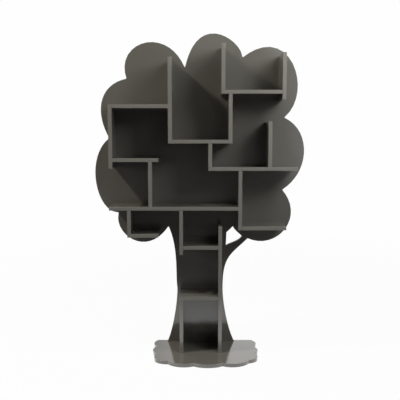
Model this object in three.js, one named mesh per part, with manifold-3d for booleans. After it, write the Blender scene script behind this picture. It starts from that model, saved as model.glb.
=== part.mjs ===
// A tree shaped bookshelf: a back panel cut as a tree, a scalloped base plate, and shelves and uprights
// that stand out from the panel. Millimetres, +Z up, the front faces -Y.
// The origin is at the middle of the base plate's underside.
import * as THREE from 'three';
import { mergeVertices } from 'three/addons/utils/BufferGeometryUtils.js';
import Module from 'manifold-3d';

const wasm = await Module();
wasm.setup();

// Sizes of the sheets and of the whole tree
const panelWidth = 1080;
const panelHeight = 1602;
const panelThickness = 18;
const boardThickness = 18;
const shelfDepth = 170;
const jointGap = 0.3;
const cutterRadius = 3;

// Sizes of the trunk, measured from the tree's middle line and from the foot of the panel
const waistHalfWidth = 119;
const waistHeight = 290;
const leftFootWidth = 172;
const rightFootWidth = 181;
const tallUprightInset = 19;
const trunkUprightInset = 26;

// Sizes of the base plate, and how far the tree's middle line stands to the left of the plate's
const baseWidth = 534;
const baseDepth = 341;
const baseThickness = 18;
const treeOffset = 26;

// Assembly screws: a countersunk head with a hexagon socket, a smooth neck and a thinner core
const screwLength = 50;
const screwHeadDiameter = 10;
const screwHeadHeight = 3;
const screwNeckDiameter = 7;
const screwNeckLength = 15;
const screwCoreDiameter = 5;
const screwTipLength = 4;
const socketDiameter = 4;
const socketDepth = 2.4;
const screwClearance = 0.3;
const headSink = 0.3;
const cutOverrun = 2;
const footScrewSpacing = 115;
const screwSides = 8;

// The crown's outline, lobe by lobe, clockwise from the notch between trunk and lower left lobe.
// Each row is one curve: two handles and the notch that it ends in, across and up.
const crownStartShares = [-0.152, 0.386];
const crownLobeShares = [
  [-0.258, 0.278, -0.421, 0.360, -0.391, 0.431],
  [-0.498, 0.428, -0.552, 0.609, -0.431, 0.671],
  [-0.502, 0.758, -0.472, 0.841, -0.345, 0.858],
  [-0.404, 0.973, -0.152, 1.027, -0.071, 0.891],
  [-0.009, 1.080, 0.204, 0.970, 0.198, 0.923],
  [0.423, 1.042, 0.540, 0.814, 0.398, 0.736],
  [0.525, 0.699, 0.532, 0.566, 0.394, 0.505],
  [0.512, 0.413, 0.369, 0.303, 0.230, 0.346],
];
// Handles of the trunk's two long curves above the waist: the left one in half waists and panel
// heights, the right one, which is the underside of the branch, leaves the crown at its first handle
const leftTrunkHandleShares = [1.09, 0.222, 0.93, 0.313];
const branchHandleShares = [0.147, 0.290];
const branchDropShare = 0.289;
// Handles of the flare below the waist, in flare widths and waist heights
const flareHandleShares = [0.56, 0.23];
const waistHandleShare = 0.28;
// The hole between trunk, branch and crown, anticlockwise from its top corner
const holeStartShares = [0.158, 0.387];
const holeCurveShares = [
  [0.149, 0.377, 0.139, 0.373, 0.128, 0.366],
  [0.127, 0.352, 0.126, 0.340, 0.125, 0.322],
  [0.143, 0.331, 0.190, 0.337, 0.202, 0.353],
  [0.181, 0.368, 0.165, 0.373, 0.158, 0.387],
];
const panelCurveSteps = 16;

// The base plate's notches, clockwise from the left end of its straight back edge, in half widths and
// half depths, each with the bulge of the lobe that leads to it as a share of that lobe's chord
const baseStartShares = [-0.927, 1];
const baseNotchShares = [
  [0.912, 1, 0],
  [0.923, 0.426, 0.233],
  [0.928, -0.144, 0.224],
  [0.792, -0.697, 0.288],
  [0.311, -0.898, 0.210],
  [-0.213, -0.910, 0.159],
  [-0.682, -0.754, 0.186],
  [-0.914, -0.173, 0.327],
  [-0.937, 0.430, 0.189],
  [-0.927, 1, 0.183],
];
const lobeShoulderShare = 0.27;
const bulgeHandleShare = 4 / 3;
const baseCurveSteps = 10;
// Corners that turn less than this stay as they are, and a rounded one has a few steps
const leastCornerTurn = Math.PI / 12;
const cornerSteps = 4;

// Middle planes of the uprights, across the panel
const acrossShares = [
  ['leftOuter', -0.404],
  ['leftLower', -0.324],
  ['leftInner', -0.226],
  ['leftCrown', -0.135],
  ['centreHanging', 0.046],
  ['crownTopLeft', 0.104],
  ['crownCentre', 0.137],
  ['rightLower', 0.183],
  ['rightBook', 0.316],
  ['crownTopRight', 0.376],
];
// Middle planes of the shelves, up the panel
const upShares = [
  ['trunkLower', 0.174],
  ['trunkUpper', 0.334],
  ['lowerLeft', 0.372],
  ['lowerRight', 0.395],
  ['longCentre', 0.456],
  ['middleRight', 0.578],
  ['middleLeft', 0.605],
  ['upperCentre', 0.661],
  ['upperLeft', 0.767],
  ['upperRight', 0.810],
];
// Ends of uprights, then of shelves, that stop short of a neighbour
const endUpShares = [
  ['leftOuterFoot', 0.579],
  ['leftCrownTop', 0.913],
  ['crownTopLeftTop', 0.953],
  ['crownTopRightFoot', 0.787],
  ['crownTopRightTop', 0.927],
  ['rightBookTop', 0.722],
  ['trunkHeadFoot', 0.312],
  ['trunkTallTop', 0.400],
];
const endAcrossShares = [
  ['middleLeft', -0.189],
  ['longCentre', -0.414],
  ['middleRight', 0.443],
  ['lowerRight', 0.394],
  ['lowerLeft', -0.192],
];

// Where along a board its rear screws sit
const oneScrewShares = [0.5];
const twoScrewShares = [0.2, 0.8];
const widePairShares = [0.12, 0.88];

const panelBack = baseDepth / 2;
const panelFront = panelBack - panelThickness;
const panelMiddle = panelFront + panelThickness / 2;
const panelFoot = baseThickness + jointGap;
const shelfMiddle = panelFront - jointGap - shelfDepth / 2;
const halfBoard = boardThickness / 2;

const across = (share) => share * panelWidth - treeOffset;
const up = (share) => panelFoot + share * panelHeight;

const leftFace = (middle) => middle - halfBoard;
const rightFace = (middle) => middle + halfBoard;
const topFace = (middle) => middle + halfBoard;
const underside = (middle) => middle - halfBoard;
const leftOf = (middle) => leftFace(middle) - jointGap;
const rightOf = (middle) => rightFace(middle) + jointGap;
const above = (middle) => topFace(middle) + jointGap;
const below = (middle) => underside(middle) - jointGap;

const bookshelf = new THREE.Group();
const rearScrewPlaces = [];

function addMesh(name, geometry, colour, roughness, metalness) {
  const material = new THREE.MeshStandardMaterial({ color: colour, roughness, metalness });
  const mesh = new THREE.Mesh(geometry, material);
  mesh.name = name;
  bookshelf.add(mesh);
  return mesh;
}

const addLacquered = (name, geometry) => addMesh(name, geometry, 0x5b5852, 0.32, 0);
const addSteel = (name, geometry) => addMesh(name, geometry, 0xb4b6b8, 0.35, 1);

// Closed geometry as a solid that can be cut
function solidOf(geometry) {
  const bare = geometry.clone();
  bare.deleteAttribute('normal');
  bare.deleteAttribute('uv');
  const merged = mergeVertices(bare);
  const vertProperties = new Float32Array(merged.attributes.position.array);
  const triVerts = new Uint32Array(merged.index.array);
  return new wasm.Manifold(new wasm.Mesh({ numProp: 3, vertProperties, triVerts }));
}

function geometryOf(solid) {
  const mesh = solid.getMesh();
  const geometry = new THREE.BufferGeometry();
  geometry.setAttribute('position', new THREE.BufferAttribute(mesh.vertProperties, 3));
  geometry.setIndex(new THREE.BufferAttribute(mesh.triVerts, 1));
  geometry.computeVertexNormals();
  return geometry;
}

// A turned shape about the Y axis from [radius, y] rows that start and end on the axis
function turned(rows) {
  const profile = rows.map(([radius, y]) => new THREE.Vector2(radius, y));
  return new THREE.LatheGeometry(profile, screwSides);
}

// The screw points to -Y, with the top of its head at y = 0
function makeScrew() {
  return turned([
    [0, -screwLength],
    [screwCoreDiameter / 2, screwTipLength - screwLength],
    [screwCoreDiameter / 2, -screwNeckLength],
    [screwNeckDiameter / 2, -screwNeckLength],
    [screwNeckDiameter / 2, -screwHeadHeight],
    [screwHeadDiameter / 2, 0],
    [socketDiameter / 2, 0],
    [socketDiameter / 2, -socketDepth],
    [0, -socketDepth],
  ]);
}

// The space that one screw takes in the wood, a clearance larger than the screw all round
function makeScrewCutter() {
  const head = screwHeadDiameter / 2 + screwClearance;
  const neck = screwNeckDiameter / 2 + screwClearance;
  const core = screwCoreDiameter / 2 + screwClearance;
  const neckEnd = -screwNeckLength - screwClearance;
  return turned([
    [0, -screwLength - screwClearance],
    [core, -screwLength - screwClearance],
    [core, neckEnd],
    [neck, neckEnd],
    [neck, -screwHeadHeight],
    [head, 0],
    [head, headSink + cutOverrun],
    [0, headSink + cutOverrun],
  ]);
}

const screwGeometry = makeScrew();
const screwCutter = makeScrewCutter();

// Cuts the screw's space at each place; turn stands the cutter on its head for screws from below
function boreFor(geometry, places, turn) {
  let solid = solidOf(geometry);
  for (const [x, y, z] of places) {
    const cutter = screwCutter.clone();
    cutter.rotateX(turn);
    cutter.translate(x, y, z);
    solid = solid.subtract(solidOf(cutter));
  }
  return solid;
}

// How far the cutter's round runs along each side of the corner after each curve of a closed path.
// Corners that point out of the wood stay sharp; airSide is 1 for an outline and -1 for a hole.
function cornerTrims(curves, airSide) {
  const area = THREE.ShapeUtils.area(curves.map((curve) => curve.getPoint(0)));
  return curves.map((curve, index) => {
    const arriving = curve.getTangent(1);
    const leaving = curves[(index + 1) % curves.length].getTangent(0);
    const turn = -airSide * Math.sign(area) * Math.atan2(arriving.cross(leaving), arriving.dot(leaving));
    return turn > leastCornerTurn ? cutterRadius * Math.tan(turn / 2) : 0;
  });
}

// The points of a closed path whose inner corners are as round as the cutter leaves them
function cutPath(path, curveSteps, airSide) {
  const { curves } = path;
  const trims = cornerTrims(curves, airSide);
  const stretches = curves.map((curve, index) => {
    const length = curve.getLength();
    const from = trims.at(index - 1) / length;
    const to = 1 - trims[index] / length;
    const steps = curve.isLineCurve ? 1 : curveSteps;
    return Array.from({ length: steps + 1 }, (_, step) => (
      curve.getPointAt(from + (to - from) * step / steps)));
  });
  return stretches.flatMap((points, index) => {
    if (trims[index] === 0) return points.slice(0, -1);
    const [next] = stretches[(index + 1) % stretches.length];
    const round = new THREE.QuadraticBezierCurve(points.at(-1), curves[index].getPoint(1), next);
    return points.concat(round.getPoints(cornerSteps).slice(1, -1));
  });
}

const curveTo = (path, [x1, z1, x2, z2, x3, z3]) => path.bezierCurveTo(x1, z1, x2, z2, x3, z3);

function panelOutline() {
  const x = (share) => share * panelWidth;
  const z = (share) => share * panelHeight;
  const scaled = ([x1, z1, x2, z2, x3, z3]) => [x(x1), z(z1), x(x2), z(z2), x(x3), z(z3)];
  const [flareX, flareZ] = flareHandleShares;
  const waistHandle = waistHandleShare * waistHeight;
  const leftFlare = flareX * (leftFootWidth - waistHalfWidth);
  const rightFlare = flareX * (rightFootWidth - waistHalfWidth);
  const [lowX, lowZ, highX, highZ] = leftTrunkHandleShares;
  const [startX, startZ] = crownStartShares;
  const [branchX, branchZ] = branchHandleShares;

  const outline = new THREE.Shape();
  outline.moveTo(-leftFootWidth, 0);
  outline.bezierCurveTo(
    leftFlare - leftFootWidth, flareZ * waistHeight,
    -waistHalfWidth, waistHeight - waistHandle,
    -waistHalfWidth, waistHeight,
  );
  outline.bezierCurveTo(
    -lowX * waistHalfWidth, z(lowZ),
    -highX * waistHalfWidth, z(highZ),
    x(startX), z(startZ),
  );
  for (const lobe of crownLobeShares) curveTo(outline, scaled(lobe));
  outline.bezierCurveTo(
    x(branchX), z(branchZ),
    waistHalfWidth, z(branchDropShare),
    waistHalfWidth, waistHeight,
  );
  outline.bezierCurveTo(
    waistHalfWidth, waistHeight - waistHandle,
    rightFootWidth - rightFlare, flareZ * waistHeight,
    rightFootWidth, 0,
  );
  outline.lineTo(-leftFootWidth, 0);

  const hole = new THREE.Path();
  hole.moveTo(x(holeStartShares[0]), z(holeStartShares[1]));
  for (const side of holeCurveShares) curveTo(hole, scaled(side));

  const panel = new THREE.Shape(cutPath(outline, panelCurveSteps, 1));
  panel.holes.push(new THREE.Path(cutPath(hole, panelCurveSteps, -1)));
  return panel;
}

// A round lobe from the path's last point to the given one, standing out to the left of the way there
function lobeTo(path, x, y, bulgeShare) {
  const start = path.currentPoint;
  const alongX = x - start.x;
  const alongY = y - start.y;
  const inX = lobeShoulderShare * alongX;
  const inY = lobeShoulderShare * alongY;
  const outX = -bulgeHandleShare * bulgeShare * alongY;
  const outY = bulgeHandleShare * bulgeShare * alongX;
  path.bezierCurveTo(
    start.x + inX + outX, start.y + inY + outY,
    x - inX + outX, y - inY + outY,
    x, y,
  );
}

function baseOutline() {
  const outline = new THREE.Shape();
  const [startX, startY] = baseStartShares;
  outline.moveTo(startX * baseWidth / 2, startY * baseDepth / 2);
  for (const [shareX, shareY, bulgeShare] of baseNotchShares) {
    const x = shareX * baseWidth / 2;
    const y = shareY * baseDepth / 2;
    if (bulgeShare === 0) outline.lineTo(x, y);
    else lobeTo(outline, x, y, bulgeShare);
  }
  return new THREE.Shape(cutPath(outline, baseCurveSteps, 1));
}

const pointsBack = 0;
const pointsUp = -Math.PI / 2;

// One board: a box bored in its rear edge, and in its foot where it stands on the base plate
function addBoard(name, width, height, middleX, middleZ, rearPlaces, footPlaces) {
  const toLocal = ([x, y, z]) => [x - middleX, y - shelfMiddle, z - middleZ];
  const box = new THREE.BoxGeometry(width, shelfDepth, height);
  const rearBored = boreFor(box, rearPlaces.map(toLocal), pointsBack);
  const bored = boreFor(geometryOf(rearBored), footPlaces.map(toLocal), pointsUp);
  const mesh = addLacquered(name, geometryOf(bored));
  mesh.position.set(middleX, shelfMiddle, middleZ);
  const many = rearPlaces.length > 1;
  rearPlaces.forEach((place, index) => {
    rearScrewPlaces.push({ name: many ? `${name}_screw_${index + 1}` : `${name}_screw`, place });
  });
}

function addUpright(name, middleX, foot, top, screwShares, footPlaces = []) {
  const height = top - foot;
  const places = screwShares.map((share) => [middleX, panelBack - headSink, foot + share * height]);
  addBoard(name, boardThickness, height, middleX, foot + height / 2, places, footPlaces);
}

function addShelf(name, middleZ, left, right, screwShares) {
  const width = right - left;
  const places = screwShares.map((share) => [left + share * width, panelBack - headSink, middleZ]);
  addBoard(name, width, boardThickness, left + width / 2, middleZ, places, []);
}

const named = (rows, lengthOf) => Object.fromEntries(rows.map(([key, share]) => [key, lengthOf(share)]));
const place = named(acrossShares, across);
place.trunkTall = waistHalfWidth - tallUprightInset - treeOffset;
place.trunkLeft = trunkUprightInset - waistHalfWidth - treeOffset;
const level = named(upShares, up);
const endLevel = named(endUpShares, up);
const endPlace = named(endAcrossShares, across);

const footScrewPlaces = {
  trunkTall: [[place.trunkTall, shelfMiddle, headSink]],
  trunkFoot: [[place.trunkLeft, shelfMiddle, headSink]],
  panel: [-1, 0, 1].map((side) => [side * footScrewSpacing - treeOffset, panelMiddle, headSink]),
};

function addUprights() {
  addUpright('left_outer_upright', place.leftOuter, endLevel.leftOuterFoot,
    topFace(level.upperLeft), twoScrewShares);
  addUpright('left_crown_upright', place.leftCrown, underside(level.upperCentre),
    endLevel.leftCrownTop, twoScrewShares);
  addUpright('crown_top_left_upright', place.crownTopLeft, above(level.upperRight),
    endLevel.crownTopLeftTop, oneScrewShares);
  addUpright('crown_top_right_upright', place.crownTopRight, endLevel.crownTopRightFoot,
    endLevel.crownTopRightTop, oneScrewShares);
  addUpright('crown_centre_upright', place.crownCentre, underside(level.upperCentre),
    below(level.upperRight), oneScrewShares);
  addUpright('right_book_upright', place.rightBook, above(level.middleRight),
    endLevel.rightBookTop, oneScrewShares);
  addUpright('left_inner_upright', place.leftInner, above(level.longCentre),
    below(level.middleLeft), oneScrewShares);
  addUpright('centre_hanging_upright', place.centreHanging, underside(level.middleRight),
    below(level.upperCentre), oneScrewShares);
  addUpright('right_lower_upright', place.rightLower, underside(level.lowerRight),
    below(level.middleRight), oneScrewShares);
  addUpright('left_lower_upright', place.leftLower, underside(level.lowerLeft),
    below(level.longCentre), oneScrewShares);
  addUpright('trunk_head_upright', place.trunkLeft, endLevel.trunkHeadFoot,
    below(level.longCentre), oneScrewShares);
  addUpright('trunk_tall_upright', place.trunkTall, panelFoot,
    endLevel.trunkTallTop, twoScrewShares, footScrewPlaces.trunkTall);
  addUpright('trunk_foot_upright', place.trunkLeft, panelFoot,
    below(level.trunkLower), oneScrewShares, footScrewPlaces.trunkFoot);
}

function addShelves() {
  addShelf('upper_left_shelf', level.upperLeft, rightOf(place.leftOuter),
    leftOf(place.leftCrown), oneScrewShares);
  addShelf('upper_centre_shelf', level.upperCentre, rightOf(place.leftCrown),
    leftOf(place.crownCentre), twoScrewShares);
  addShelf('upper_right_shelf', level.upperRight, leftFace(place.crownTopLeft),
    leftOf(place.crownTopRight), oneScrewShares);
  addShelf('middle_left_shelf', level.middleLeft, rightOf(place.leftOuter),
    endPlace.middleLeft, oneScrewShares);
  addShelf('long_centre_shelf', level.longCentre, endPlace.longCentre,
    leftOf(place.rightLower), widePairShares);
  addShelf('middle_right_shelf', level.middleRight, rightOf(place.centreHanging),
    endPlace.middleRight, twoScrewShares);
  addShelf('lower_right_shelf', level.lowerRight, rightOf(place.rightLower),
    endPlace.lowerRight, oneScrewShares);
  addShelf('lower_left_shelf', level.lowerLeft, rightOf(place.leftLower),
    endPlace.lowerLeft, oneScrewShares);
  addShelf('trunk_upper_shelf', level.trunkUpper, rightOf(place.trunkLeft),
    leftOf(place.trunkTall), oneScrewShares);
  addShelf('trunk_lower_shelf', level.trunkLower, leftFace(place.trunkLeft),
    leftOf(place.trunkTall), oneScrewShares);
}

// The panel stands on the base plate with its back flush with the plate's back edge
function addPanel() {
  const sheet = new THREE.ExtrudeGeometry(panelOutline(), { depth: panelThickness, bevelEnabled: false });
  sheet.rotateX(Math.PI / 2);
  sheet.translate(-treeOffset, panelBack, panelFoot);
  const rearBored = boreFor(sheet, rearScrewPlaces.map((screw) => screw.place), pointsBack);
  addLacquered('back_panel', geometryOf(boreFor(geometryOf(rearBored), footScrewPlaces.panel, pointsUp)));
}

function addBasePlate() {
  const plate = new THREE.ExtrudeGeometry(baseOutline(), { depth: baseThickness, bevelEnabled: false });
  const places = Object.values(footScrewPlaces).flat();
  addLacquered('base_plate', geometryOf(boreFor(plate, places, pointsUp)));
}

function addScrew(name, [x, y, z], turn) {
  const screw = addSteel(name, screwGeometry.clone());
  screw.rotation.x = turn;
  screw.position.set(x, y, z);
}

function addScrews() {
  for (const { name, place: rearPlace } of rearScrewPlaces) addScrew(name, rearPlace, pointsBack);
  addScrew('trunk_tall_upright_foot_screw', footScrewPlaces.trunkTall[0], pointsUp);
  addScrew('trunk_foot_upright_foot_screw', footScrewPlaces.trunkFoot[0], pointsUp);
  footScrewPlaces.panel.forEach((footPlace, index) => {
    addScrew(`back_panel_foot_screw_${index + 1}`, footPlace, pointsUp);
  });
}

addUprights();
addShelves();
addPanel();
addBasePlate();
addScrews();

export default bookshelf;
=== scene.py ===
# %% [markdown]
# # A tree shaped bookshelf in dark lacquer
#
# The real object is flat-pack furniture. One sheet of fibreboard is cut as the outline of a tree, a
# scalloped plate makes its foot, and twenty-three short boards are screwed to the sheet as shelves and
# uprights. All of it is sprayed with the same dark warm grey lacquer.
#
# The solids are already packed, so this script only dresses them: it eases the edges of the boards,
# gives them their lacquer, turns the screws, and sets up a floor, lamps and a camera.

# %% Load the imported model
import math

import bmesh
import bpy
import numpy as np
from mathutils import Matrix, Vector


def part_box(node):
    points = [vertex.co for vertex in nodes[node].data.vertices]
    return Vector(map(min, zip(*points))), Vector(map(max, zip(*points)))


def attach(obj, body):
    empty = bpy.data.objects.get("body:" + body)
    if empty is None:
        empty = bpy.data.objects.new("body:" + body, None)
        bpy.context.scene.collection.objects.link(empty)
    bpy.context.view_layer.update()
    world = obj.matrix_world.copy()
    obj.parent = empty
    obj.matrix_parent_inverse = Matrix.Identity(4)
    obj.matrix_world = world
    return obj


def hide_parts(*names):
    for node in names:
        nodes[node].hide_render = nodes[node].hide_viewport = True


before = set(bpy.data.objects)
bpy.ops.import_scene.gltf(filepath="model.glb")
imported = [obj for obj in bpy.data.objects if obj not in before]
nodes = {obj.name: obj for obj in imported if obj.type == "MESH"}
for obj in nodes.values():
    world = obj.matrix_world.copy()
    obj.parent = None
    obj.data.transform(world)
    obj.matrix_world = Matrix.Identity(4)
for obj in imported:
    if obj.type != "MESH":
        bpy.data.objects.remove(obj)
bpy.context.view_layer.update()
print("pieces in the model:", len(nodes))

# %% [markdown]
# ## Which pieces are boards, and where the screws run
#
# Every screw is its own piece, and the rest are boards. A screw's hole must stay sharp when the boards'
# edges are rounded, so the script needs each screw's line. The ones at the foot stand upright and the
# others run from the back to the front, which shows in the longest side of each screw's box.

# %% Sort the pieces
screw_names = sorted(name for name in nodes if "_screw" in name)
board_names = sorted(name for name in nodes if "_screw" not in name)
UPWARDS = 2


def screw_line(name):
    """The middle of a screw's box, and the axis (1 for Y, 2 for Z) along which the box is longest."""
    low, high = (np.array(corner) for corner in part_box(name))
    return (low + high) / 2, int(np.argmax(high - low))


screw_lines = {name: screw_line(name) for name in screw_names}
print("boards:", len(board_names), "screws:", len(screw_names))
print("screws from below:", sum(axis == UPWARDS for _, axis in screw_lines.values()))

# %% [markdown]
# ## Shader helpers
#
# Every finish here is a small network of shader nodes. Noise in the piece's own coordinates is used
# instead of painted images, because it has no seams, never repeats, and stays sharp however close the
# camera comes. Four short helpers keep the networks readable.


# %% Small helpers for shader nodes
def new_material(name):
    """An empty node material: the material, its tree, its Principled shader and the object's place."""
    material = bpy.data.materials.new(name)
    material.use_nodes = True
    tree = material.node_tree
    tree.nodes.clear()
    shader = tree.nodes.new("ShaderNodeBsdfPrincipled")
    output = tree.nodes.new("ShaderNodeOutputMaterial")
    tree.links.new(shader.outputs["BSDF"], output.inputs["Surface"])
    place = tree.nodes.new("ShaderNodeTexCoord").outputs["Object"]
    return material, tree, shader, place


def add_noise(tree, place, scale, detail):
    """Cloud noise in the piece's own coordinates, with scale clouds to the metre."""
    noise = tree.nodes.new("ShaderNodeTexNoise")
    noise.inputs["Scale"].default_value = scale
    noise.inputs["Detail"].default_value = detail
    tree.links.new(place, noise.inputs["Vector"])
    return noise.outputs["Fac"]


def spread(tree, value, start, end, low=0.3, high=0.7):
    """Maps a value from between low and high, where noise mostly lies, onto start to end."""
    reach = tree.nodes.new("ShaderNodeMapRange")
    for name, number in (("From Min", low), ("From Max", high), ("To Min", start), ("To Max", end)):
        reach.inputs[name].default_value = number
    tree.links.new(value, reach.inputs["Value"])
    return reach.outputs["Result"]


def shade_between(tree, factor, dark, light):
    """A colour that runs from dark to light as the factor runs from 0 to 1."""
    mix = tree.nodes.new("ShaderNodeMix")
    mix.data_type = "RGBA"
    mix.inputs["A"].default_value = (*dark, 1)
    mix.inputs["B"].default_value = (*light, 1)
    tree.links.new(factor, mix.inputs["Factor"])
    return mix.outputs["Result"]


# %% [markdown]
# ## A satin lacquer over fibreboard
#
# Sprayed lacquer is never a flat colour. The spray settles in shallow waves some two millimetres long,
# which is called orange peel, and the coat is a little thicker and glossier in one place than in
# another. So the lacquer is made from three layers of noise: one for the colour, one for the gloss and
# one, very fine, for the waves. A clear coat lies over the pigmented one, as on real furniture, so
# there are two reflections, and the shader's Coat makes the upper one. The sawn edges get a mix of
# their own, a little rougher than the faces, and its colour is painted paler: a painted highlight that
# stands in for the light the edges catch.

# %% Numbers of the lacquer
# Every noise is given as its clouds to the metre, and how many layers of finer clouds lie on them
face_colour = np.array([0.142, 0.131, 0.113])
# The edges' colour is painted paler than the faces': painted light for the light the edges catch
painted_light_edge_colour = np.array([0.226, 0.211, 0.184])
colour_noise, colour_change = (5, 3), 0.04
gloss_noise = (14, 4)
face_roughness = (0.12, 0.18)
edge_roughness = (0.22, 0.26)
coat_roughness = 0.13
lacquer_ior = 1.5
peel_noise, peel_height = (420, 1), 0.00002


# %% Mix the lacquer
def make_lacquer(name, colour, roughness):
    """Lacquer under a clear coat: clouds in the colour, patches in the gloss, waves on the surface."""
    material, tree, shader, place = new_material(name)
    clouds = spread(tree, add_noise(tree, place, *colour_noise), 0, 1)
    shades = shade_between(tree, clouds, colour * (1 - colour_change), colour * (1 + colour_change))
    tree.links.new(shades, shader.inputs["Base Color"])
    gloss = spread(tree, add_noise(tree, place, *gloss_noise), *roughness)
    tree.links.new(gloss, shader.inputs["Roughness"])
    for socket, value in (("IOR", lacquer_ior), ("Coat IOR", lacquer_ior), ("Coat Weight", 1),
                          ("Coat Roughness", coat_roughness)):
        shader.inputs[socket].default_value = value
    bump = tree.nodes.new("ShaderNodeBump")
    bump.inputs["Distance"].default_value = peel_height
    tree.links.new(add_noise(tree, place, *peel_noise), bump.inputs["Height"])
    for socket in ("Normal", "Coat Normal"):
        tree.links.new(bump.outputs["Normal"], shader.inputs[socket])
    return material


face_lacquer = make_lacquer("satin_lacquer", face_colour, face_roughness)
# The edges' mix carries the paler colour, a painted highlight along every sawn edge
edge_lacquer_painted_light = make_lacquer("edge_lacquer_painted_light", painted_light_edge_colour, edge_roughness)
print("face roughness:", *face_roughness, "edge roughness:", *edge_roughness)

# %% [markdown]
# ## Bare fibreboard inside the holes
#
# The holes are drilled after spraying, so their walls show the board itself: pressed wood fibre, tan
# and quite matt. Two sizes of noise give the fibre clumps and the fine fluff.

# %% Mix the bare fibreboard
fibre_dark = np.array([0.21, 0.13, 0.07])
fibre_pale = np.array([0.36, 0.25, 0.15])
clump_noise, fluff_noise = (900, 4), (2500, 2)
fibre_roughness, fluff_height = 0.9, 0.0001


def make_fibreboard(name):
    """Matt pressed fibre: two tans mixed by fine noise, and a surface raised by finer noise."""
    material, tree, shader, place = new_material(name)
    clumps = spread(tree, add_noise(tree, place, *clump_noise), 0, 1)
    tree.links.new(shade_between(tree, clumps, fibre_dark, fibre_pale), shader.inputs["Base Color"])
    shader.inputs["Roughness"].default_value = fibre_roughness
    bump = tree.nodes.new("ShaderNodeBump")
    bump.inputs["Distance"].default_value = fluff_height
    tree.links.new(add_noise(tree, place, *fluff_noise), bump.inputs["Height"])
    tree.links.new(bump.outputs["Normal"], shader.inputs["Normal"])
    return material


bare_fibre = make_fibreboard("bare_fibreboard")
# The boards' faces keep the first finish of this list, and edges and holes are given the others
board_finishes = [face_lacquer, edge_lacquer_painted_light, bare_fibre]
EDGE, HOLE = 1, 2
print("finishes on a board:", [finish.name for finish in board_finishes])

# %% [markdown]
# ## Boards with eased edges
#
# Lacquer doesn't hold on a knife-sharp edge, so the maker sands every edge round before spraying, by
# about a millimetre. That small round catches a line of light, which is what makes a board look solid.
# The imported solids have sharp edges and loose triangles, and they must stay as they are. So each board
# gets a copy whose doubled points are merged and whose flat faces are joined again, and a Bevel
# modifier rounds the edges that are marked. The screw holes aren't marked, because a drill leaves them
# sharp. A Weighted Normal modifier keeps the flats flat.

# %% Numbers of the eased edge
edge_radius = 0.001
edge_segments = 3
hole_reach = 0.0075
merge_distance = 0.000002
flat_angle = math.radians(0.4)
eased_angle = math.radians(50)
crisp_angle = math.radians(35)
sawn_limit = 0.5


# %% Find the edges that the maker eases
def runs_along_hole(points):
    """True where all the points lie within a hole's reach of one screw's line."""
    for middle, axis in screw_lines.values():
        across = [i for i in range(3) if i != axis]
        if np.hypot(*(points - middle)[:, across].T).max() < hole_reach:
            return True
    return False


def mark_edges(sheet):
    """Marks the outward corners for the bevel, and the other sharp ones, as at a hole's rim, as crisp."""
    weights = sheet.edges.layers.float.new("bevel_weight_edge")
    marked = 0
    for edge in sheet.edges:
        angle = edge.calc_face_angle(0)
        ends = np.array([vertex.co for vertex in edge.verts])
        if angle > eased_angle and edge.is_convex and not runs_along_hole(ends):
            edge[weights] = 1
            marked += 1
        elif angle > crisp_angle:
            edge.smooth = False
    return marked


# %% Give each face of a board its finish
def finish_faces(sheet, flat_axis):
    """Gives the walls of the holes and the sawn edges their finish.

    A face is a sawn edge where less than sawn_limit of its normal lies along the board's thickness.
    """
    for face in sheet.faces:
        face.smooth = True
        corners = np.array([vertex.co for vertex in face.verts])
        if runs_along_hole(corners):
            face.material_index = HOLE
        elif abs(face.normal[flat_axis]) < sawn_limit:
            face.material_index = EDGE


# %% Make the eased boards
def eased_copy(name):
    """A merged copy of a board with its marked edges bevelled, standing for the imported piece."""
    low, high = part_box(name)
    sheet = bmesh.new()
    sheet.from_mesh(nodes[name].data)
    bmesh.ops.remove_doubles(sheet, verts=sheet.verts, dist=merge_distance)
    bmesh.ops.dissolve_limit(sheet, angle_limit=flat_angle, verts=sheet.verts, edges=sheet.edges)
    marked = mark_edges(sheet)
    finish_faces(sheet, int(np.argmin(high - low)))
    mesh = bpy.data.meshes.new(name + "_eased")
    sheet.to_mesh(mesh)
    sheet.free()
    board = bpy.data.objects.new(name + "_eased", mesh)
    bpy.context.scene.collection.objects.link(board)
    for finish in board_finishes:
        mesh.materials.append(finish)

    bevel = board.modifiers.new("eased edges", "BEVEL")
    bevel.limit_method = "WEIGHT"
    bevel.width = edge_radius
    bevel.segments = edge_segments
    # The rounds take the edges' mix, so its painted highlight runs along them too
    bevel.material = EDGE
    flats = board.modifiers.new("flat faces", "WEIGHTED_NORMAL")
    flats.keep_sharp = True
    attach(board, "root")
    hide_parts(name)
    return marked


for name in board_names:
    print(name, "edges eased:", eased_copy(name))

# %% [markdown]
# ## Zinc plated screws
#
# The screws show at the back and underneath. Zinc plate is a bright metal with a slightly cloudy
# surface. A metal has no colour under its gloss, so the shader's metallic is 1 and the colour is that
# of its reflections, and soft noise in the roughness gives the clouds.

# %% Mix the zinc plate
zinc_colour = np.array([0.46, 0.47, 0.49])
zinc_dull_share = 0.9
zinc_roughness = (0.24, 0.42)
zinc_colour_noise, zinc_gloss_noise = (300, 3), (700, 2)


def make_zinc(name):
    """Zinc plate: a metal whose shade and roughness change in small clouds."""
    material, tree, shader, place = new_material(name)
    shader.inputs["Metallic"].default_value = 1
    clouds = spread(tree, add_noise(tree, place, *zinc_colour_noise), 0, 1)
    tree.links.new(shade_between(tree, clouds, zinc_colour * zinc_dull_share, zinc_colour),
                   shader.inputs["Base Color"])
    gloss = spread(tree, add_noise(tree, place, *zinc_gloss_noise), *zinc_roughness)
    tree.links.new(gloss, shader.inputs["Roughness"])
    return material


zinc = make_zinc("zinc_plate")

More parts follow.
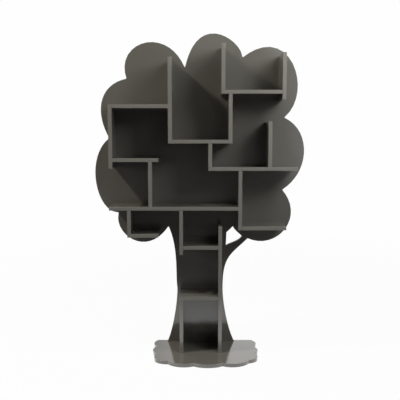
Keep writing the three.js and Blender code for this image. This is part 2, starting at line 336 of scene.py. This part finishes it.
# %% [markdown]
# ## The screw as a profile and a thread
#
# An assembly screw is formed from wire: a countersunk head with a hexagon socket, a smooth neck and a
# thin core with a thread rolled on. A Screw modifier could sweep the thread, but a table of rings is
# simpler and closes itself. Each ring has a place along the screw and a radius, and two things change
# the radius on the way round: in the socket it follows a hexagon, and on the core it rises to the
# thread's crest, which moves on by one turn for every pitch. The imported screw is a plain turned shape,
# and this one stays inside it.

# %% Numbers of the screw, millimetres
# Rings are given as place along the screw and radius, and those of the socket as place and share of the
# socket's radius
millimetre = 0.001
around_count = 36
thread_start, thread_end = 15.6, 45.0
thread_pitch = 3.0
rings_per_pitch = 6
core_radius, crest_radius = 1.85, 2.45
socket_radius = 2.0
socket_rings = [(2.3, 0.3), (2.3, 1.0), (0.25, 1.0), (0.0, 1.12)]
body_rings = [(0.0, 4.45), (0.06, 4.7), (0.2, 4.78), (0.5, 4.72), (3.0, 3.2), (3.3, 3.15), (14.6, 3.15),
              (15.1, 2.6)]
tip_rings = [(thread_end, core_radius), (47.0, 1.5), (49.6, 0.35)]


# %% Rings of the screw
def hexagon(angle):
    """Distance from the middle of a hexagon to its side, 1 at the corners, at an angle."""
    sixth = math.pi / 3
    return math.cos(sixth / 2) / np.cos(np.mod(angle, sixth) - sixth / 2)


def thread_rise(place, angle):
    """Height of the thread from 0 to 1: a ridge half a pitch wide that fades in and out."""
    turn = np.mod(place / thread_pitch - angle / (2 * math.pi), 1)
    ridge = np.clip(1 - np.abs(turn - 0.5) * 4, 0, 1)
    ends = np.clip((place - thread_start) / thread_pitch, 0, 1) * np.clip((thread_end - place), 0, 1)
    return ridge * ends


def as_columns(rings):
    """A table of rings as two columns, with one row to a ring."""
    return np.array(rings).T[:, :, None]


def screw_rings():
    """Place along the screw and radius, each as rows of rings from the socket's floor to the tip."""
    angle = np.linspace(0, 2 * math.pi, around_count, endpoint=False)[None, :]
    socket_place, socket_share = as_columns(socket_rings)
    body_place, body_radius = as_columns(body_rings)
    thread_place = np.arange(thread_start, thread_end, thread_pitch / rings_per_pitch)[:, None]
    tip_place, tip_radius = as_columns(tip_rings)
    radius = np.concatenate([
        socket_radius * socket_share * hexagon(angle),
        body_radius + 0 * angle,
        core_radius + (crest_radius - core_radius) * thread_rise(thread_place, angle),
        tip_radius + 0 * angle])
    place = np.concatenate([socket_place, body_place, thread_place, tip_place]) + 0 * angle
    return place, radius, angle + 0 * place


ring_place, ring_radius, ring_angle = screw_rings()
print("rings on a screw:", len(ring_place), "points on a ring:", around_count)

# %% [markdown]
# ## From rings to a mesh
#
# Two neighbouring rings are joined by four-sided faces, and the last point of a ring meets its first
# one again, so the skin has no seam. At the socket's floor and at the tip a fan of triangles closes it.
# The same rings are then laid along each packed screw's own line, head outwards.


# %% Turn the screws
def skin_faces(ring_count):
    """Faces over closed rings: quads between the rings, and a fan to one added point at each end."""
    index = np.arange(ring_count * around_count).reshape(ring_count, around_count)
    beside = np.roll(index, -1, axis=1)
    quads = np.stack([index[:-1], index[1:], beside[1:], beside[:-1]], axis=-1).reshape(-1, 4)
    first, last = index.size, index.size + 1
    start_fan = np.stack([beside[0], np.full(around_count, first), index[0]], axis=-1)
    end_fan = np.stack([index[-1], np.full(around_count, last), beside[-1]], axis=-1)
    return quads.tolist() + start_fan.tolist() + end_fan.tolist()


def screw_points(name):
    """The rings laid along a packed screw: from its head's top, along its line, in metres."""
    low, high = (np.array(corner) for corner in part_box(name))
    middle, axis = screw_lines[name]
    ahead = np.zeros(3)
    ahead[axis] = 1 if axis == UPWARDS else -1
    head = middle.copy()
    head[axis] = low[axis] if axis == UPWARDS else high[axis]
    side = np.array([1.0, 0.0, 0.0])
    other = np.cross(ahead, side)
    across = np.cos(ring_angle)[..., None] * side + np.sin(ring_angle)[..., None] * other
    points = head + millimetre * (ring_place[..., None] * ahead + ring_radius[..., None] * across)
    ends = points[[0, -1]].mean(axis=1)
    return np.concatenate([points.reshape(-1, 3), ends])


def turn_screw(name):
    """A threaded screw in the place of a packed one."""
    mesh = bpy.data.meshes.new(name + "_threaded")
    mesh.from_pydata(screw_points(name).tolist(), [], skin_faces(len(ring_place)))
    mesh.shade_smooth()
    mesh.set_sharp_from_angle(angle=crisp_angle)
    mesh.materials.append(zinc)
    screw = bpy.data.objects.new(name + "_threaded", mesh)
    bpy.context.scene.collection.objects.link(screw)
    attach(screw, "root")
    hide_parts(name)
    return len(mesh.polygons)


for name in screw_names:
    faces_made = turn_screw(name)
print("screws turned:", len(screw_names), "faces on each:", faces_made)

# %% [markdown]
# ## Floor
#
# The photograph has a pure white ground with hardly any shadow. A white floor that is only lit would
# need so much light that the bookshelf would be too bright as well. So the floor answers each kind of
# ray by itself, which the Light Path node allows. To the camera it is white paper, mostly glowing, with
# a little of it lit so that a faint shadow stays. In reflections it glows near the bookshelf and falls
# off further out. For the soft light that bounces from it on to the boards it is dark grey card.

# %% Numbers of the floor
floor_reach, floor_drop, lines_each_way = 30, 0.0005, 9
floor_middle = (0, 0.15, 0)
camera_white = 0.99
# From shadow_near to shadow_far metres out, the share of glow rises to 1, so the shadow fades away
camera_glow_share, shadow_near, shadow_far = 0.97, 1.5, 4
paper_shade, card_shade = 0.8, 0.1
paper_noise, fleck_shares, paper_roughness = (60, 3), (0.99, 1.01), 0.9
reflected_near, reflected_out, far_share = 1.35, 0.95, 0.09
near_distance, out_distance, far_distance = 0.5, 1.0, 1.25


# %% Mix the floor
def of_both(tree, operation, first, second):
    """One Math node on two values, each an output of a node or a plain number."""
    node = tree.nodes.new("ShaderNodeMath")
    node.operation = operation
    for socket, value in zip(node.inputs, (first, second)):
        if isinstance(value, (int, float)):
            socket.default_value = value
        else:
            tree.links.new(value, socket)
    return node.outputs[0]


def distance_from(tree, place, middle):
    """How far the shaded point lies from a fixed point, in metres."""
    node = tree.nodes.new("ShaderNodeVectorMath")
    node.operation = "DISTANCE"
    tree.links.new(place, node.inputs[0])
    node.inputs[1].default_value = middle
    return node.outputs["Value"]


def make_floor_material():
    """Paper to the camera, a glow in reflections, and dark card to all other light."""
    material, tree, shader, place = new_material("white_floor")
    rays = tree.nodes.new("ShaderNodeLightPath").outputs
    distance = distance_from(tree, place, floor_middle)
    fibres = spread(tree, add_noise(tree, place, *paper_noise), *fleck_shares)
    shade = spread(tree, rays["Is Camera Ray"], card_shade, paper_shade, 0, 1)
    flecked = of_both(tree, "MULTIPLY", shade, fibres)
    tree.links.new(shade_between(tree, flecked, (0, 0, 0), (1, 1, 1)), shader.inputs["Base Color"])
    shader.inputs["Roughness"].default_value = paper_roughness
    shader.inputs["Specular IOR Level"].default_value = 0

    glow = tree.nodes.new("ShaderNodeEmission")
    glow.inputs["Color"].default_value = (1, 1, 1, 1)
    seen = of_both(tree, "MULTIPLY", rays["Is Camera Ray"], camera_white)
    slope = spread(tree, distance, reflected_near, reflected_out, near_distance, out_distance)
    fall = of_both(tree, "MULTIPLY", slope,
                   spread(tree, distance, 1, far_share, out_distance, far_distance))
    mirrored = of_both(tree, "MULTIPLY", rays["Is Glossy Ray"], fall)
    tree.links.new(of_both(tree, "ADD", seen, mirrored), glow.inputs["Strength"])

    open_floor = spread(tree, distance, camera_glow_share, 1, shadow_near, shadow_far)
    seen_share = of_both(tree, "MULTIPLY", rays["Is Camera Ray"], open_floor)
    share = of_both(tree, "MAXIMUM", seen_share, rays["Is Glossy Ray"])
    mix = tree.nodes.new("ShaderNodeMixShader")
    tree.links.new(share, mix.inputs[0])
    tree.links.new(shader.outputs["BSDF"], mix.inputs[1])
    tree.links.new(glow.outputs[0], mix.inputs[2])
    tree.links.new(mix.outputs[0], tree.nodes["Material Output"].inputs["Surface"])
    return material


# %% Lay the floor
def make_floor():
    """A flat grid, floor_reach metres out from the middle each way, just under the base plate."""
    steps = np.linspace(-floor_reach, floor_reach, lines_each_way)
    x, y = np.meshgrid(steps, steps)
    points = np.stack([x, y, np.full_like(x, -floor_drop)], axis=-1).reshape(-1, 3)
    index = np.arange(x.size).reshape(x.shape)
    faces = np.stack([index[:-1, :-1], index[:-1, 1:], index[1:, 1:], index[1:, :-1]], axis=-1)
    mesh = bpy.data.meshes.new("floor")
    mesh.from_pydata(points.tolist(), [], faces.reshape(-1, 4).tolist())
    mesh.materials.append(make_floor_material())
    floor = bpy.data.objects.new("floor", mesh)
    bpy.context.scene.collection.objects.link(floor)
    return floor


floor = make_floor()
print("floor faces:", len(floor.data.polygons))

# %% [markdown]
# ## Background
#
# The world is treated in the same way. The camera sees white. Glossy surfaces see a pale wall behind
# the bookshelf, white towards the right and grey towards the left, and a dark room in front, which is
# what makes the top of the base plate shine and leaves the panel deep. Soft light comes only faintly,
# from behind, so that the back isn't black.

# %% Numbers of the background
right, behind = (1, 0, 0), (0, 1, 0)
wall_white, wall_grey, room_dark = 0.94, 0.34, 0.004
# The wall turns from grey to white, and the dark room into wall, while the share of the ray that points
# right, or behind, goes through these ranges
grey_to_white, room_to_wall = (-0.09, 0), (-0.05, 0.15)
soft_bright, soft_dark = 0.12, 0.0


# %% Paint the background
def towards(tree, direction, dark, bright, low, high):
    """A strength that rises from dark to bright as the ray turns towards a direction.

    The share of the ray that points that way is its dot product with the direction, -1 to 1.
    """
    place = tree.nodes.new("ShaderNodeTexCoord")
    dot = tree.nodes.new("ShaderNodeVectorMath")
    dot.operation = "DOT_PRODUCT"
    tree.links.new(place.outputs["Generated"], dot.inputs[0])
    dot.inputs[1].default_value = direction
    return spread(tree, dot.outputs["Value"], dark, bright, low, high)


def make_world():
    """White to the camera, a pale wall for reflections, and a faint soft light from behind."""
    world = bpy.data.worlds.new("studio")
    bpy.context.scene.world = world
    world.use_nodes = True
    tree = world.node_tree
    tree.nodes.clear()
    rays = tree.nodes.new("ShaderNodeLightPath").outputs
    wall = of_both(tree, "MULTIPLY", towards(tree, right, wall_grey, wall_white, *grey_to_white),
                   towards(tree, behind, 0, 1, *room_to_wall))
    mirrored = of_both(tree, "MULTIPLY", rays["Is Glossy Ray"],
                       of_both(tree, "MAXIMUM", wall, room_dark))
    soft = of_both(tree, "MULTIPLY", rays["Is Diffuse Ray"],
                   towards(tree, behind, soft_dark, soft_bright, 0, 1))
    seen = of_both(tree, "MULTIPLY", rays["Is Camera Ray"], camera_white)
    sky = tree.nodes.new("ShaderNodeBackground")
    sky.inputs["Color"].default_value = (1, 1, 1, 1)
    strength = of_both(tree, "ADD", of_both(tree, "ADD", mirrored, soft), seen)
    tree.links.new(strength, sky.inputs["Strength"])
    output = tree.nodes.new("ShaderNodeOutputWorld")
    tree.links.new(sky.outputs[0], output.inputs["Surface"])


make_world()

# %% [markdown]
# ## Lamps
#
# The shadows in the photograph tell where its lamps stood. Sharp slanting shadows on the panel meet,
# when drawn back, at one small lamp high on the left. The soft dark bands to the left of each upright
# come from softer light on the right. Area lamps are softboxes: the larger the box and the nearer it
# stands, the softer its shadow. The crown is brighter than the foot, so most boxes stand close to it.
# What the small lamp reaches looks a little warmer than the shade, which is why that lamp is warm and
# most others are cool. Lamps are hidden from the camera, so that no view shows a bright square.

# %% Set up the lamps
warm, cool, neutral = (1, 0.98, 0.9), (0.91, 0.965, 1), (1, 1, 1)
crown, shelves = (0, 0, 1.2), (0, 0, 1)
# Each lamp's place, what it is turned to, the side of its box in metres, its watts and its colour
lamps = {
    "key": ((-2.31, -0.62, 3.29), (0, 0.1, 1.1), 0.24, 84, warm),
    "right_near": ((1.18, -0.99, 1.92), crown, 0.51, 12.8, cool),
    "right_high": ((0.92, -0.77, 2.4), crown, 0.51, 5, cool),
    "right_side": ((1.49, -0.4, 1.92), crown, 0.51, 5, neutral),
    "right_over": ((1.16, -0.31, 2.4), crown, 0.51, 6.7, warm),
    "right_front": ((0.84, -1.81, 2.13), crown, 0.66, 2.6, cool),
    "left_high": ((-0.82, -0.22, 2.67), crown, 0.51, 4.2, cool),
    "crown_front": ((0, -1.54, 1.92), crown, 0.51, 0.18, cool),
    "right_low": ((4.34, -1.16, 1.24), shelves, 1.6, 25, neutral),
    "front": ((1.9, -4.07, 1.24), shelves, 1.6, 6.5, cool),
    "left_low": ((-3.44, -2.89, 1.24), shelves, 1.6, 7.2, cool),
    "left_side": ((-4.34, -1.16, 1.24), shelves, 1.6, 24.1, neutral),
    "behind": ((-2.6, 2.8, 2.4), (0, 0.17, 0.9), 1.6, 45, neutral),
}


def add_softbox(name, place, target, size, power, colour):
    """A square area lamp of the given size, power in watts and colour, turned towards the target."""
    lamp = bpy.data.lights.new(name, "AREA")
    lamp.shape = "SQUARE"
    lamp.size = size
    lamp.energy = power
    lamp.color = colour
    box = bpy.data.objects.new(name, lamp)
    bpy.context.scene.collection.objects.link(box)
    box.location = place
    away = np.array(place) - np.array(target)
    flat = math.hypot(away[0], away[1])
    box.rotation_euler = (math.atan2(flat, away[2]), 0, math.atan2(away[0], -away[1]))
    box.visible_camera = False


for name, settings in lamps.items():
    add_softbox(name, *settings)
print("lamps:", len(lamps), "watts in all:", sum(watts for *_, watts, _ in lamps.values()))

# %% [markdown]
# ## Camera
#
# The camera stands straight in front of the tree, 1.1 metres up, and tips down a little. In the
# photograph the uprights stay almost parallel and the top of the base plate shows. Its place, tip and
# lens were worked out from the corners of the boards.

# %% Camera
camera_place = (-0.026, -2.9395, 1.122)
camera_pitch = math.radians(6.43)
lens = bpy.data.cameras.new("camera")
lens.sensor_width = 36
lens.lens = 54
camera = bpy.data.objects.new("camera", lens)
bpy.context.scene.collection.objects.link(camera)
camera.location = camera_place
camera.rotation_euler = (math.pi / 2 - camera_pitch, 0, 0)
bpy.context.scene.camera = camera
bpy.context.scene.view_settings.view_transform = "Standard"
print("camera", round(-camera_place[1], 2), "metres in front, lens", lens.lens)
